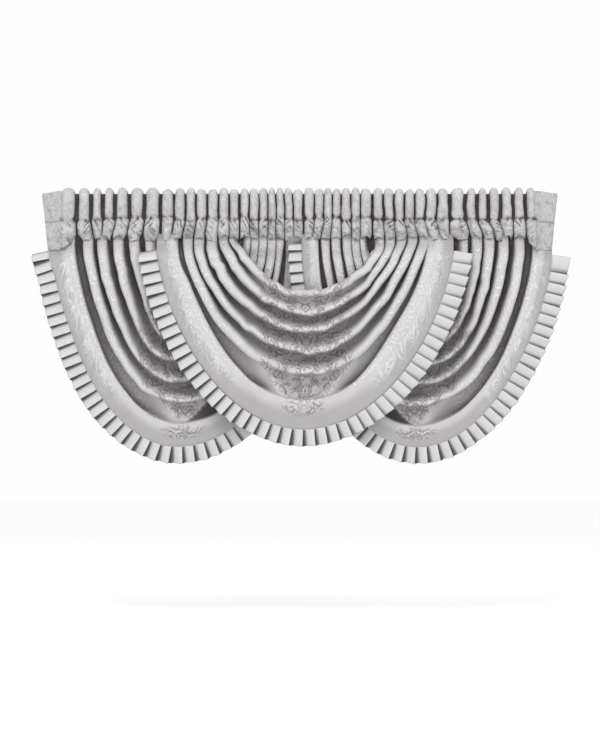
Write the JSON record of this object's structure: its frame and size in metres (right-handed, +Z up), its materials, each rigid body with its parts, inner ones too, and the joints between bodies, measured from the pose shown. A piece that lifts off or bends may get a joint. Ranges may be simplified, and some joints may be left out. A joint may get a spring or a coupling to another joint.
{
  "type": "waterfall valance",
  "caption": "Gathered rod-pocket window valance of overlapping draped swags with deep folds and pleated trim.",
  "frame": {"origin": "middle of the top edge, over the rod", "axes": "+X to the viewer's right along the rod, -Y to the front of the cloth, +Z up"},
  "size_m": [1.2606, 0.0853, 0.6486],
  "materials": {
    "header_jacquard": "silver-grey jacquard, gathered",
    "swag_jacquard": "silver-grey jacquard with tone-on-tone scrolls",
    "trim_satin": "plain satin in flat pleats"
  },
  "bodies": {
    "root": {"left_header_outer": "header_jacquard", "left_header_inner": "header_jacquard", "centre_header_left": "header_jacquard", "centre_header_right": "header_jacquard", "right_header_inner": "header_jacquard", "right_header_outer": "header_jacquard", "left_swag": "swag_jacquard", "centre_swag": "swag_jacquard", "right_swag": "swag_jacquard", "left_trim": "trim_satin", "centre_trim": "trim_satin", "right_trim": "trim_satin"}
  },
  "joints": []
}
